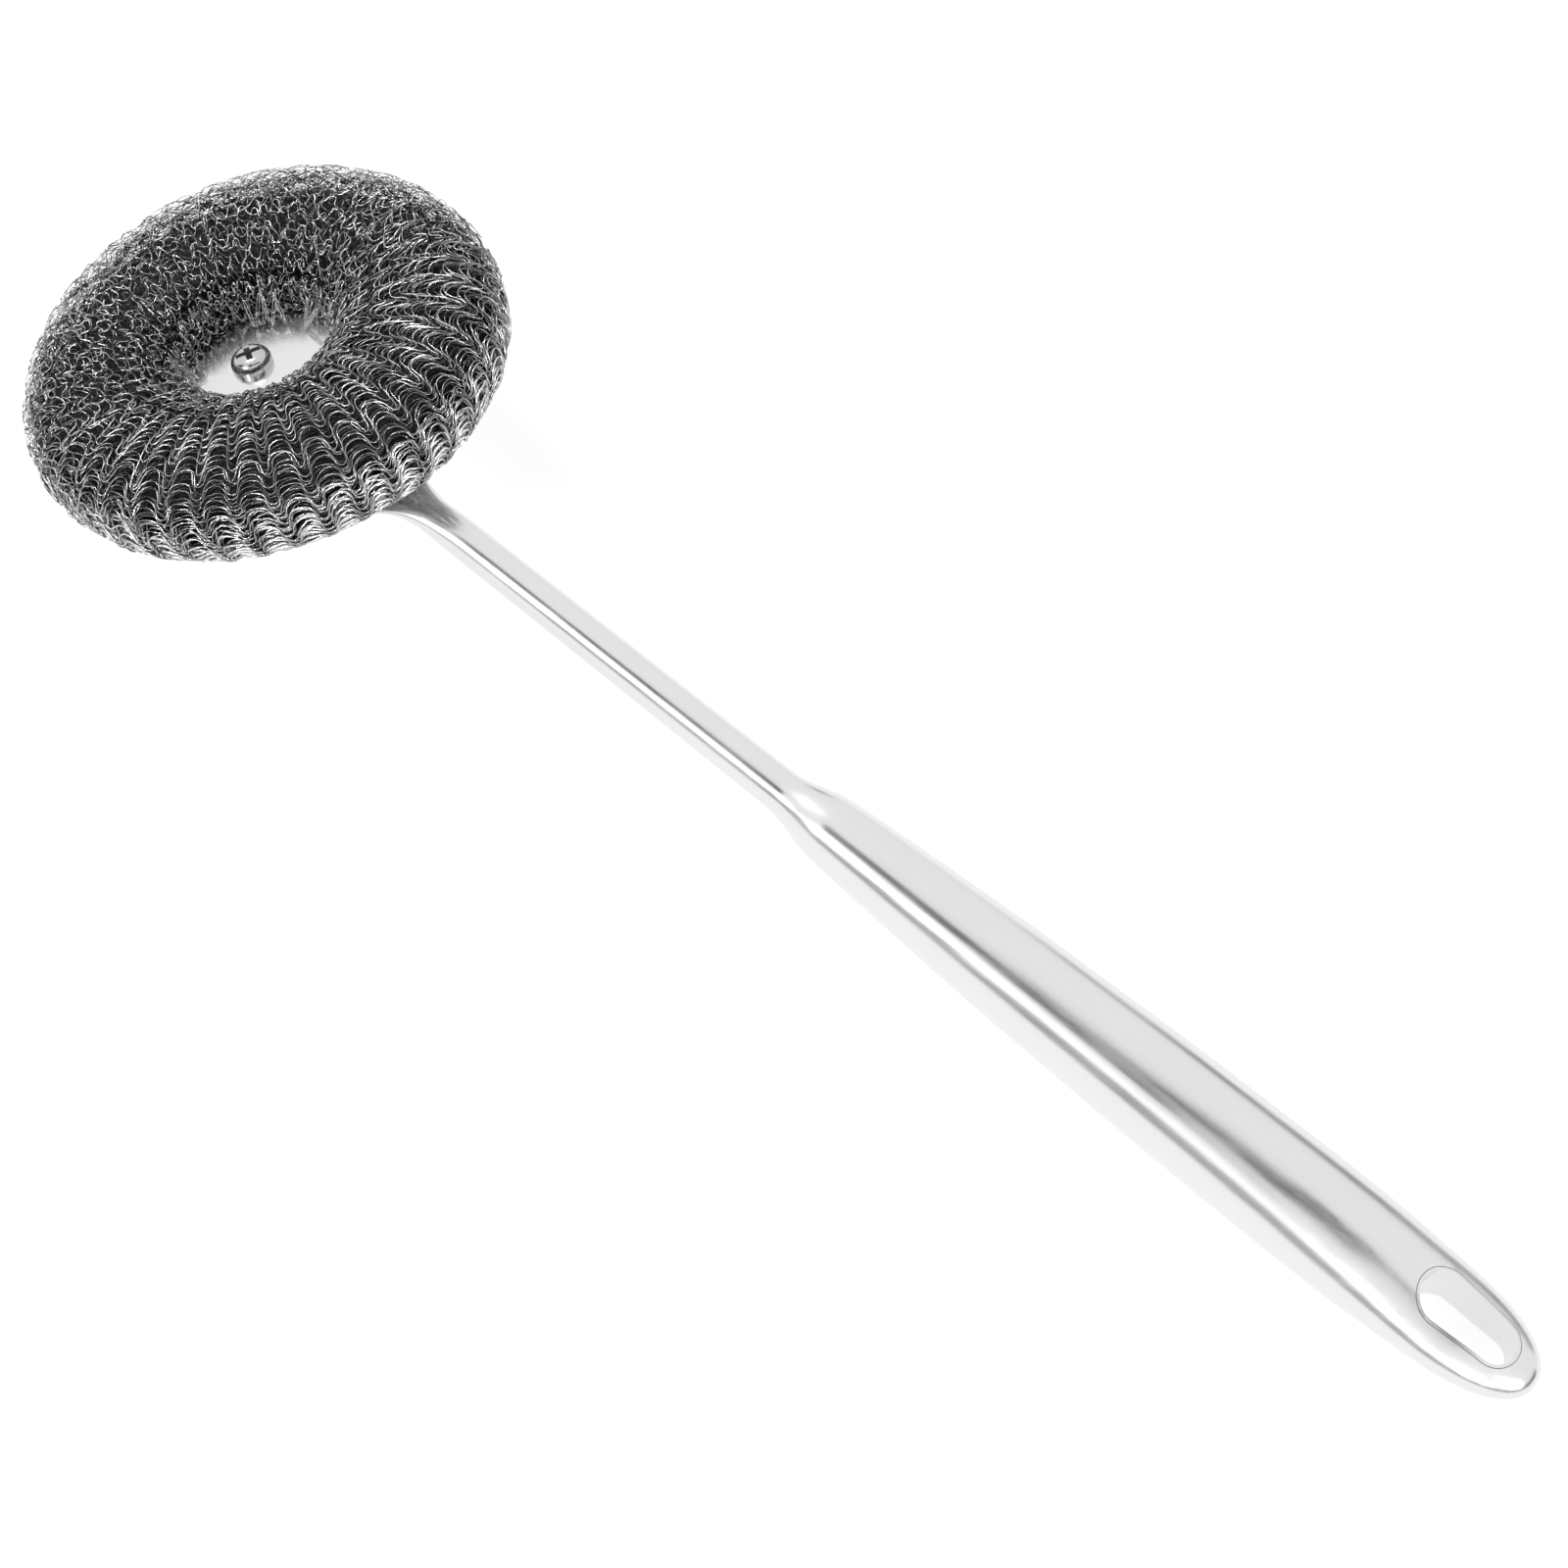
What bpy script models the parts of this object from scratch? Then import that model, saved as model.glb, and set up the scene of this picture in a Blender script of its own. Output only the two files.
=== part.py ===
"""Steel dish brush: a knitted steel scourer clamped between two plates at the end of a hollow steel handle.

The brush lies on the floor as it does on a draining board: on the far rim of its scourer and on the
end of its grip, with the working face up. +X runs from the scourer to the grip and +Z is up. The
head is modelled about its own axis and the handle along its own path, in the tool's frame, which
has its origin at the bend of the neck. The whole tool is then laid down.
"""

import math

import bmesh
import bpy
from mathutils import Matrix, Vector

# Fits and cuts
SEAT_GAP = 0.0003  # between pieces that bear on each other
CUT_OVERRUN = 0.002  # how far a cutter runs past what it cuts
MERGE_DISTANCE = 0.00001
TURNED_STEPS = 48

# Head: scourer
SCOURER_RADIUS = 0.049
SCOURER_CREST_RADIUS = 0.0335
SCOURER_FOOT_RADIUS = 0.0225
SCOURER_FRONT_HEIGHT = 0.0132  # from its widest circle to its crest
SCOURER_BACK_HEIGHT = 0.0195  # from the back plate to its widest circle
SCOURER_CREST_LEAN = math.radians(4.6)  # the knit is piled higher away from the handle
SCOURER_LIP = 0.004  # how far the knit laps over the clamp plate
SCOURER_ROUNDNESS = 2.3  # exponent of the superellipse that its section follows
WALE_COUNT = 40
WALE_DEPTH = 0.0014

# Head: plates
BACK_PLATE_RADIUS = 0.025
BACK_PLATE_THICKNESS = 0.0012
CLAMP_PLATE_RADIUS = 0.0195
CLAMP_PLATE_THICKNESS = 0.001
CLAMP_PLATE_RISE = 0.0012  # its front face above the scourer's widest circle
PLATE_EDGE_ROUND = 0.0003

# Head: screw, washer and nut
SCREW_RADIUS = 0.002
SCREW_HEAD_RADIUS = 0.0041
SCREW_HEAD_HEIGHT = 0.0031
SCREW_HEAD_DOME = 0.0011  # the part of the head's height that is domed
SCREW_TIP_LENGTH = 0.0014  # how far the screw shows past the nut
SCREW_TIP_CHAMFER = 0.0005
RECESS_LENGTH = 0.0046
RECESS_WIDTH = 0.0009
RECESS_DEPTH = 0.0018
WASHER_RADIUS = 0.0045
WASHER_THICKNESS = 0.0008
NUT_WIDTH = 0.007  # across the flats
NUT_HEIGHT = 0.0032

# Handle: path
HEAD_TILT = math.radians(35)  # between the head's plates and the handle
HEAD_TO_BEND = 0.030  # from the screw's axis to the bend's corner
BEND_RADIUS = 0.015
HANDLE_LENGTH = 0.2757  # from the bend's corner to the end of the grip

# Handle: wall and sections, as width and depth over both shells
SHELL_WALL = 0.001
TONGUE_WIDTH = 0.028
NECK_WIDTH = 0.0072
NECK_DEPTH = 0.0069
NECK_END_WIDTH = 0.0077
NECK_END_DEPTH = 0.0078
SHOULDER_WIDTH = 0.0118
SHOULDER_DEPTH = 0.012
GRIP_MIDDLE_WIDTH = 0.0163
GRIP_MIDDLE_DEPTH = 0.0161
GRIP_WIDTH = 0.0214
GRIP_DEPTH = 0.0191
SLOT_WIDTH_OUTSIDE = 0.0216  # the grip's width and depth at the hanging slot
SLOT_DEPTH_OUTSIDE = 0.0102
NOSE_LENGTH = 0.025
NOSE_ROUNDNESS = 2.2  # exponent of the superellipse that the grip's end follows
NECK_TOP_CORNER = 0.0024  # radii of the section's corners: tighter above, rounder below
NECK_BELLY_CORNER = 0.0027
GRIP_TOP_CORNER = 0.0068
GRIP_BELLY_CORNER = 0.0078
SLOT_TOP_CORNER = 0.004
SLOT_BELLY_CORNER = 0.0044
CORNER_STEPS = 4

# Handle: places along the path, from the bend's corner
NECK_START = 0.009
FLATTENED_LENGTH = 0.0214  # from the back plate's edge to where the neck has its full depth
NECK_END = 0.0937
SHOULDER_LENGTH = 0.0127
FLARE_START_SHARE = 0.667  # of the way from the bend's corner to the screw
GRIP_WIDEST_SHARE = 0.74  # of the way from the shoulder to the slot's middle

# Handle: hanging slot, from the end of the grip to the slot's middle
SLOT_FROM_END = 0.0175
SLOT_LENGTH = 0.0222
SLOT_WIDE_END = 0.0112
SLOT_NARROW_END = 0.0094
SLOT_CORNER_STEPS = 7
LINER_WALL = 0.0006

# Stations along the path, as shares of each stretch
FLARE_SHARES = [i / 12 for i in range(13)]
NECK_SHARES = [0.5]
SHOULDER_SHARES = [i / 6 for i in range(7)]
GRIP_SHARES = [i / 6 for i in range(1, 7)]
BELLY_SHARES = [0.25, 0.5, 0.75, 1]
ROUND_SHARES = [math.sin(math.radians(a)) for a in (0, 20, 38, 53, 65, 75, 82, 87)]
CAVITY_ROUND_SHARES = ROUND_SHARES[:6]

FACE_SHINE = {
    "knitted_steel": ((0.33, 0.33, 0.34), 0.32),
    "polished_steel": ((0.78, 0.78, 0.79), 0.08),
    "brushed_steel": ((0.72, 0.72, 0.73), 0.28),
    "bright_zinc": ((0.62, 0.62, 0.64), 0.18),
}


def make_material(name):
    colour, roughness = FACE_SHINE[name]
    material = bpy.data.materials.new(name)
    material.use_nodes = True
    shader = material.node_tree.nodes["Principled BSDF"]
    shader.inputs["Base Color"].default_value = (*colour, 1)
    shader.inputs["Metallic"].default_value = 1
    shader.inputs["Roughness"].default_value = roughness
    return material


def add_object(name, mesh, collection, material=None, smooth_angle=math.radians(35)):
    piece = bpy.data.objects.new(name, mesh)
    collection.objects.link(piece)
    if material:
        mesh.materials.append(material)
        mesh.shade_smooth()
        mesh.set_sharp_from_angle(angle=smooth_angle)
    return piece


def hide_cutter(cutter):
    cutter.hide_render = True
    cutter.display_type = "WIRE"
    return cutter


def cut(piece, cutter, operation="DIFFERENCE"):
    modifier = piece.modifiers.new(f"{operation.lower()}_{cutter.name}", "BOOLEAN")
    modifier.operation = operation
    modifier.solver = "EXACT"
    modifier.object = cutter


def turned(name, profile, collection, material=None):
    """A solid turned about the head's axis from a closed profile of (radius, height) corners."""
    mesh = bpy.data.meshes.new(name)
    count = len(profile)
    mesh.from_pydata([(r, 0, z) for r, z in profile], [(i, (i + 1) % count) for i in range(count)], [])
    piece = add_object(name, mesh, collection, material)
    screw = piece.modifiers.new("turn", "SCREW")
    screw.axis = "Z"
    screw.steps = screw.render_steps = TURNED_STEPS
    screw.use_merge_vertices = True
    screw.merge_threshold = MERGE_DISTANCE
    return piece


def cylinder(name, radius, low, high, collection, vertices=TURNED_STEPS):
    """A closed cylinder about the head's axis, from one height to another."""
    mesh = bpy.data.meshes.new(name)
    bm = bmesh.new()
    bmesh.ops.create_cone(bm, cap_ends=True, segments=vertices, radius1=radius, radius2=radius, depth=high - low)
    bmesh.ops.translate(bm, verts=bm.verts, vec=(0, 0, (low + high) / 2))
    bm.to_mesh(mesh)
    bm.free()
    return add_object(name, mesh, collection)


# Heights along the head's axis, from the back plate's front face. The working side is up.
TONGUE_DEPTH = 2 * SHELL_WALL + SEAT_GAP  # both shells, flattened
TONGUE_TOP = -BACK_PLATE_THICKNESS - SEAT_GAP
TONGUE_MIDDLE = TONGUE_TOP - TONGUE_DEPTH / 2
WASHER_TOP = TONGUE_TOP - TONGUE_DEPTH - SEAT_GAP
NUT_TOP = WASHER_TOP - WASHER_THICKNESS - SEAT_GAP
SCREW_TIP = NUT_TOP - NUT_HEIGHT - SCREW_TIP_LENGTH
SCOURER_WIDEST = SEAT_GAP + SCOURER_BACK_HEIGHT
CLAMP_PLATE_TOP = SCOURER_WIDEST + CLAMP_PLATE_RISE
CLAMP_PLATE_BOTTOM = CLAMP_PLATE_TOP - CLAMP_PLATE_THICKNESS
SCREW_SEAT = CLAMP_PLATE_TOP + SEAT_GAP
HOLE_RADIUS = SCREW_RADIUS + SEAT_GAP


def ring_profile(inner, outer, low, high, edge_round):
    """A flat ring's section with its outer corners taken off."""
    return [
        (inner, high),
        (outer - edge_round, high),
        (outer, high - edge_round),
        (outer, low + edge_round),
        (outer - edge_round, low),
        (inner, low),
    ]


def quarter(corner_radius, corner_height, width, height, angles):
    """Points of a superellipse about a corner, at angles from its outward side to its upward side."""
    power = 2 / SCOURER_ROUNDNESS
    points = []
    for angle in angles:
        c, s = math.cos(math.radians(angle)), math.sin(math.radians(angle))
        across, up = math.copysign(abs(c) ** power, c), math.copysign(abs(s) ** power, s)
        points.append((corner_radius + width * across, corner_height + height * up))
    return points


def make_scourer(collection, material):
    """The knitted scourer: a thick ring with raised wales, pinched round the clamp plate.

    Its outer skin follows quarters of superellipses. The wales are the columns of its knit, which run
    over the crest from the dimple to the foot. The plate's edge sits in a groove inside the dimple.
    """
    outer_width = SCOURER_RADIUS - SCOURER_CREST_RADIUS
    dimple_radius = CLAMP_PLATE_RADIUS - SCOURER_LIP
    inner_width = SCOURER_CREST_RADIUS - dimple_radius
    foot_width = SCOURER_RADIUS - SCOURER_FOOT_RADIUS
    lip = CLAMP_PLATE_TOP + SEAT_GAP
    groove = CLAMP_PLATE_RADIUS + SEAT_GAP
    skin = quarter(
        SCOURER_CREST_RADIUS, SCOURER_WIDEST, inner_width, SCOURER_FRONT_HEIGHT, (165, 150, 135, 115, 90)
    )
    skin += quarter(
        SCOURER_CREST_RADIUS, SCOURER_WIDEST, outer_width, SCOURER_FRONT_HEIGHT, (65, 45, 25, 0)
    )
    skin += quarter(
        SCOURER_FOOT_RADIUS, SCOURER_WIDEST, foot_width, SCOURER_BACK_HEIGHT, (-20, -40, -60, -90)
    )
    inside = [
        (HOLE_RADIUS, SEAT_GAP),
        (HOLE_RADIUS, CLAMP_PLATE_BOTTOM - SEAT_GAP),
        (groove, CLAMP_PLATE_BOTTOM - SEAT_GAP),
        (groove, lip),
        (dimple_radius, lip),
    ]
    mesh = bpy.data.meshes.new("scourer")
    bm = bmesh.new()
    steps = 2 * WALE_COUNT
    rings = []
    for step in range(steps):
        angle = math.tau * step / steps
        wale = WALE_DEPTH / 2 if step % 2 else -WALE_DEPTH / 2
        ring = []
        for i, (radius, height) in enumerate(skin + inside):
            on_skin = 0 < i < len(skin) - 1
            reach = radius + wale if on_skin else radius
            x, y = reach * math.cos(angle), reach * math.sin(angle)
            lean_share = (height - SCOURER_WIDEST) / SCOURER_FRONT_HEIGHT if i < len(skin) else 0
            lean = math.tan(SCOURER_CREST_LEAN) * max(0, lean_share) * x
            ring.append(bm.verts.new((x, y, height - lean)))
        rings.append(ring)
    count = len(rings[0])
    for ring, following in zip(rings, rings[1:] + rings[:1]):
        for i in range(count):
            bm.faces.new((ring[i], ring[(i + 1) % count], following[(i + 1) % count], following[i]))
    bmesh.ops.recalc_face_normals(bm, faces=bm.faces)
    bm.to_mesh(mesh)
    bm.free()
    return add_object("scourer", mesh, collection, material)


def make_screw(collection, cutters, material):
    """The clamp screw: a pan head with a cross recess on a plain shank that runs through to the nut."""
    head_top = SCREW_SEAT + SCREW_HEAD_HEIGHT
    dome_start = head_top - SCREW_HEAD_DOME
    dome = []
    for angle in (90, 65, 42, 20, 0):
        c, s = math.cos(math.radians(angle)), math.sin(math.radians(angle))
        dome.append((SCREW_HEAD_RADIUS * c, dome_start + SCREW_HEAD_DOME * s))
    dome[0] = (0, head_top)
    profile = dome + [
        (SCREW_HEAD_RADIUS, SCREW_SEAT),
        (SCREW_RADIUS, SCREW_SEAT),
        (SCREW_RADIUS, SCREW_TIP + SCREW_TIP_CHAMFER),
        (SCREW_RADIUS - SCREW_TIP_CHAMFER, SCREW_TIP),
        (0, SCREW_TIP),
    ]
    mesh = bpy.data.meshes.new("clamp_screw")
    mesh.from_pydata(
        [(r, 0, z) for r, z in profile], [(i, i + 1) for i in range(len(profile) - 1)], []
    )
    screw = add_object("clamp_screw", mesh, collection, material)
    turn = screw.modifiers.new("turn", "SCREW")
    turn.axis = "Z"
    turn.steps = turn.render_steps = TURNED_STEPS
    turn.use_merge_vertices = True
    turn.merge_threshold = MERGE_DISTANCE

    # The recess is one cross, made from two tapered blades that point down into the head.
    blades = []
    for number, turn_angle in enumerate((0, math.pi / 2)):
        mesh = bpy.data.meshes.new(f"recess_blade_{number}")
        bm = bmesh.new()
        bmesh.ops.create_cube(bm, size=1)
        for vert in bm.verts:
            low = vert.co.z < 0
            reach = RECESS_LENGTH / 3 if low else RECESS_LENGTH
            height = -RECESS_DEPTH if low else CUT_OVERRUN
            vert.co = (vert.co.x * reach, vert.co.y * RECESS_WIDTH, head_top + height)
        bm.transform(Matrix.Rotation(turn_angle, 4, "Z"))
        bm.to_mesh(mesh)
        bm.free()
        blade = hide_cutter(add_object(mesh.name, mesh, cutters))
        blades.append(blade)
        cut(screw, blade)
    return screw, blades


def make_nut(collection, cutters, material):
    """The plain hexagon nut behind the handle, with its corners eased on both faces."""
    corner_radius = NUT_WIDTH / 2 / math.cos(math.pi / 6)
    nut = cylinder("rear_nut", corner_radius, NUT_TOP - NUT_HEIGHT, NUT_TOP, collection, vertices=6)
    nut.data.materials.append(material)
    bore = hide_cutter(
        cylinder("nut_bore", HOLE_RADIUS, NUT_TOP - NUT_HEIGHT - CUT_OVERRUN, NUT_TOP + CUT_OVERRUN, cutters)
    )
    cut(nut, bore)
    return nut, bore


def smooth_table(keys, place):
    """Reads a table of (place, value) as a smooth curve that never passes its own keys."""
    if place <= keys[0][0]:
        return keys[0][1]
    if place >= keys[-1][0]:
        return keys[-1][1]
    slopes = [(b[1] - a[1]) / (b[0] - a[0]) for a, b in zip(keys, keys[1:])]
    tangents = [0]
    for left, right in zip(slopes, slopes[1:]):
        tangents.append(min(left, right, key=abs) if left * right > 0 else 0)
    tangents.append(0)
    i = max(k for k in range(len(slopes)) if keys[k][0] <= place)
    span = keys[i + 1][0] - keys[i][0]
    t = (place - keys[i][0]) / span
    value = (2 * t**3 - 3 * t**2 + 1) * keys[i][1] + (3 * t**2 - 2 * t**3) * keys[i + 1][1]
    return value + span * ((t**3 - 2 * t**2 + t) * tangents[i] + (t**3 - t**2) * tangents[i + 1])


SLOT_MIDDLE = HANDLE_LENGTH - SLOT_FROM_END
NOSE_START = HANDLE_LENGTH - NOSE_LENGTH
SHOULDER_END = NECK_END + SHOULDER_LENGTH
GRIP_WIDEST = SHOULDER_END + GRIP_WIDEST_SHARE * (SLOT_MIDDLE - SHOULDER_END)
GRIP_MIDDLE = (SHOULDER_END + GRIP_WIDEST) / 2
FLARE_START = -HEAD_TO_BEND * FLARE_START_SHARE
FLAT_END = BACK_PLATE_RADIUS - HEAD_TO_BEND + 2 * SEAT_GAP  # past the back plate's edge
NECK_ROUND_START = FLAT_END + FLATTENED_LENGTH

WIDTH_KEYS = [
    (FLARE_START, TONGUE_WIDTH),
    (NECK_START, NECK_WIDTH),
    (NECK_END, NECK_END_WIDTH),
    (SHOULDER_END, SHOULDER_WIDTH),
    (GRIP_MIDDLE, GRIP_MIDDLE_WIDTH),
    (GRIP_WIDEST, GRIP_WIDTH),
    (SLOT_MIDDLE, SLOT_WIDTH_OUTSIDE),
]
DEPTH_KEYS = [
    (FLAT_END, TONGUE_DEPTH),
    (NECK_ROUND_START, NECK_DEPTH),
    (NECK_END, NECK_END_DEPTH),
    (SHOULDER_END, SHOULDER_DEPTH),
    (GRIP_MIDDLE, GRIP_MIDDLE_DEPTH),
    (GRIP_WIDEST, GRIP_DEPTH),
    (SLOT_MIDDLE, SLOT_DEPTH_OUTSIDE),
]
TOP_CORNER_KEYS = [
    (NECK_END, NECK_TOP_CORNER),
    (GRIP_WIDEST, GRIP_TOP_CORNER),
    (SLOT_MIDDLE, SLOT_TOP_CORNER),
]
BELLY_CORNER_KEYS = [
    (NECK_END, NECK_BELLY_CORNER),
    (GRIP_WIDEST, GRIP_BELLY_CORNER),
    (SLOT_MIDDLE, SLOT_BELLY_CORNER),
]


def end_rounding(place, inset):
    """How much of its width the handle keeps near its two rounded ends."""
    tongue_round = TONGUE_WIDTH / 2
    if place < -HEAD_TO_BEND:
        share = min(1, (-HEAD_TO_BEND - place) / (tongue_round - inset))
        return math.sqrt(1 - share**2)
    if place > NOSE_START:
        share = min(1, (place - NOSE_START) / (NOSE_LENGTH - inset))
        return (1 - share**NOSE_ROUNDNESS) ** (1 / NOSE_ROUNDNESS)
    return 1


def path_point(place):
    """A point of the handle's middle line in the tool's frame, with its direction and its upward side.

    The line lies in the XZ plane: straight along +X after the bend, and before it along the head's
    plates, which slope down by the head's tilt.
    """
    tangent_length = BEND_RADIUS * math.tan(HEAD_TILT / 2)
    if place >= tangent_length:
        return Vector((place, 0, 0)), Vector((1, 0, 0))
    if place <= -tangent_length:
        along = Vector((math.cos(HEAD_TILT), 0, math.sin(HEAD_TILT)))
        return along * place, along
    turned_by = HEAD_TILT * (tangent_length - place) / (2 * tangent_length)
    across, down = BEND_RADIUS * math.sin(turned_by), BEND_RADIUS * (1 - math.cos(turned_by))
    point = Vector((tangent_length - across, 0, -down))
    return point, Vector((math.cos(turned_by), 0, math.sin(turned_by)))


def half_section(width, depth, corner, base):
    """The (across, up) corners of one half of the handle's section, from its base line up and over."""
    half, top = width / 2, depth / 2
    corner = min(corner, half - MERGE_DISTANCE, top - max(base, 0) - MERGE_DISTANCE)
    points = [(-half, base)]
    for i in range(CORNER_STEPS + 1):
        angle = math.pi / 2 * i / CORNER_STEPS
        points.append((-half + corner * (1 - math.cos(angle)), top - corner * (1 - math.sin(angle))))
    return points + [(-across, up) for across, up in reversed(points)]


def handle_loft(name, places, side, wall, base, collection, material=None):
    """One half of the handle, or the hollow inside it, lofted through sections along the path.

    side is 1 for the upper half and -1 for the lower. wall is what is taken off the section all round,
    and base is how far the half starts from the middle line.
    """
    mesh = bpy.data.meshes.new(name)
    bm = bmesh.new()
    rings = []
    for place in places:
        rounding = end_rounding(place, wall)
        width = (smooth_table(WIDTH_KEYS, place) - 2 * wall) * rounding
        depth = smooth_table(DEPTH_KEYS, place) - 2 * wall
        if place > NOSE_START:
            depth *= rounding
        depth = max(depth, 2 * base + SHELL_WALL)
        width = max(width, SHELL_WALL)
        corner = smooth_table(TOP_CORNER_KEYS if side > 0 else BELLY_CORNER_KEYS, place) * rounding
        middle, along = path_point(place)
        upward = Vector((-along.z, 0, along.x))
        ring = [
            bm.verts.new(middle + Vector((0, across, 0)) + upward * up * side)
            for across, up in half_section(width, depth, corner, base)
        ]
        rings.append(ring)
    count = len(rings[0])
    for ring, following in zip(rings, rings[1:]):
        for i in range(count):
            bm.faces.new((ring[i], ring[(i + 1) % count], following[(i + 1) % count], following[i]))
    bm.faces.new(rings[0])
    bm.faces.new(rings[-1])
    bmesh.ops.recalc_face_normals(bm, faces=bm.faces)
    bm.to_mesh(mesh)
    bm.free()
    return add_object(name, mesh, collection, material)


def stretch(start, end, shares):
    return [start + (end - start) * share for share in shares]


def handle_places():
    """The stations of the handle's outside, close together where its section changes fast."""
    places = [-HEAD_TO_BEND - TONGUE_WIDTH / 2 * share for share in reversed(ROUND_SHARES)]
    places += stretch(FLARE_START, NECK_ROUND_START, FLARE_SHARES)
    places += stretch(NECK_ROUND_START, NECK_END, NECK_SHARES)
    places += stretch(NECK_END, SHOULDER_END, SHOULDER_SHARES)
    places += stretch(SHOULDER_END, GRIP_WIDEST, GRIP_SHARES)
    places += stretch(GRIP_WIDEST, NOSE_START, BELLY_SHARES)
    places += [NOSE_START + NOSE_LENGTH * share for share in ROUND_SHARES[1:]]
    return places


def cavity_places():
    places = [NECK_ROUND_START] + stretch(NECK_ROUND_START, NECK_END, NECK_SHARES)
    places += stretch(NECK_END, SHOULDER_END, SHOULDER_SHARES)
    places += stretch(SHOULDER_END, GRIP_WIDEST, GRIP_SHARES)
    places += stretch(GRIP_WIDEST, NOSE_START, BELLY_SHARES)
    places += [NOSE_START + (NOSE_LENGTH - SHELL_WALL) * share for share in CAVITY_ROUND_SHARES[1:]]
    return places


def slot_prism(name, grow, collection, material=None):
    """An upright prism of the hanging slot's tapered outline, larger than the slot by grow all round."""
    outline = []
    for end, width in ((1, SLOT_NARROW_END), (-1, SLOT_WIDE_END)):
        centre = (SLOT_LENGTH - width) / 2
        radius = width / 2 + grow
        for i in range(SLOT_CORNER_STEPS + 1):
            angle = math.pi * i / SLOT_CORNER_STEPS - math.pi / 2
            outline.append((end * (centre + radius * math.cos(angle)), end * radius * math.sin(angle)))
    mesh = bpy.data.meshes.new(name)
    bm = bmesh.new()
    face = bm.faces.new([bm.verts.new((SLOT_MIDDLE + x, y, -GRIP_DEPTH - grow)) for x, y in outline])
    top = bmesh.ops.extrude_face_region(bm, geom=[face])["geom"]
    bmesh.ops.translate(
        bm,
        verts=[item for item in top if isinstance(item, bmesh.types.BMVert)],
        vec=(0, 0, 2 * (GRIP_DEPTH + grow)),
    )
    bmesh.ops.recalc_face_normals(bm, faces=bm.faces)
    bm.to_mesh(mesh)
    bm.free()
    return add_object(name, mesh, collection, material)


def make_handle(collection, cutters, materials):
    """The hollow handle: two pressed shells, one long seam, and the liner of the hanging slot.

    The shells run flat and wide as a tongue behind the back plate, bend up into the neck, and swell
    into the grip. The liner is a tube with the slot's outline, flush with both shells.
    """
    seam = SEAT_GAP / 2
    slot_cutter = hide_cutter(slot_prism("slot_cutter", LINER_WALL + SEAT_GAP, cutters))
    shells = []
    for name, side in (("handle_top_shell", 1), ("handle_bottom_shell", -1)):
        shell = handle_loft(name, handle_places(), side, 0, seam, collection, materials["brushed_steel"])
        cavity = handle_loft(f"{name}_cavity", cavity_places(), side, SHELL_WALL, -CUT_OVERRUN, cutters)
        hide_cutter(cavity)
        cut(shell, cavity)
        cut(shell, slot_cutter)
        shells.append(shell)

    liner = slot_prism("hang_slot_liner", LINER_WALL, collection, materials["brushed_steel"])
    outsides = []
    for name, side in (("liner_top_outside", 1), ("liner_bottom_outside", -1)):
        outsides.append(handle_loft(name, handle_places(), side, 0, -CUT_OVERRUN, cutters))
    cut(outsides[0], outsides[1], "UNION")
    cut(liner, outsides[0], "INTERSECT")
    hole = hide_cutter(slot_prism("slot_hole", 0, cutters))
    cut(liner, hole)
    for outside in outsides:
        hide_cutter(outside)
    return shells, liner, [slot_cutter, hole, *outsides]


def lay_down(root, pieces):
    """Turns the tool about Y until it rests on the floor, and centres it over the origin.

    It lies on the widest step of its lower outline, which runs from the scourer's rim to the grip.
    """
    graph = bpy.context.evaluated_depsgraph_get()
    points = []
    for piece in pieces:
        shown = piece.evaluated_get(graph)
        points += [shown.matrix_world @ vert.co for vert in shown.data.vertices]
    outline = sorted({(p.x, p.z) for p in points})
    lower = []
    for point in outline:
        while len(lower) > 1:
            (ax, az), (bx, bz) = lower[-2], lower[-1]
            if (bx - ax) * (point[1] - az) - (bz - az) * (point[0] - ax) > 0:
                break
            lower.pop()
        lower.append(point)
    low, high = max(
        ((a, b) for a, b in zip(lower, lower[1:])), key=lambda edge: edge[1][0] - edge[0][0]
    )
    slope = math.atan2(high[1] - low[1], high[0] - low[0])
    laid = [Matrix.Rotation(slope, 4, "Y") @ p for p in points]
    root.rotation_euler = (0, slope, 0)
    root.location = (
        -(min(p.x for p in laid) + max(p.x for p in laid)) / 2,
        -(min(p.y for p in laid) + max(p.y for p in laid)) / 2,
        -min(p.z for p in laid),
    )


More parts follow.
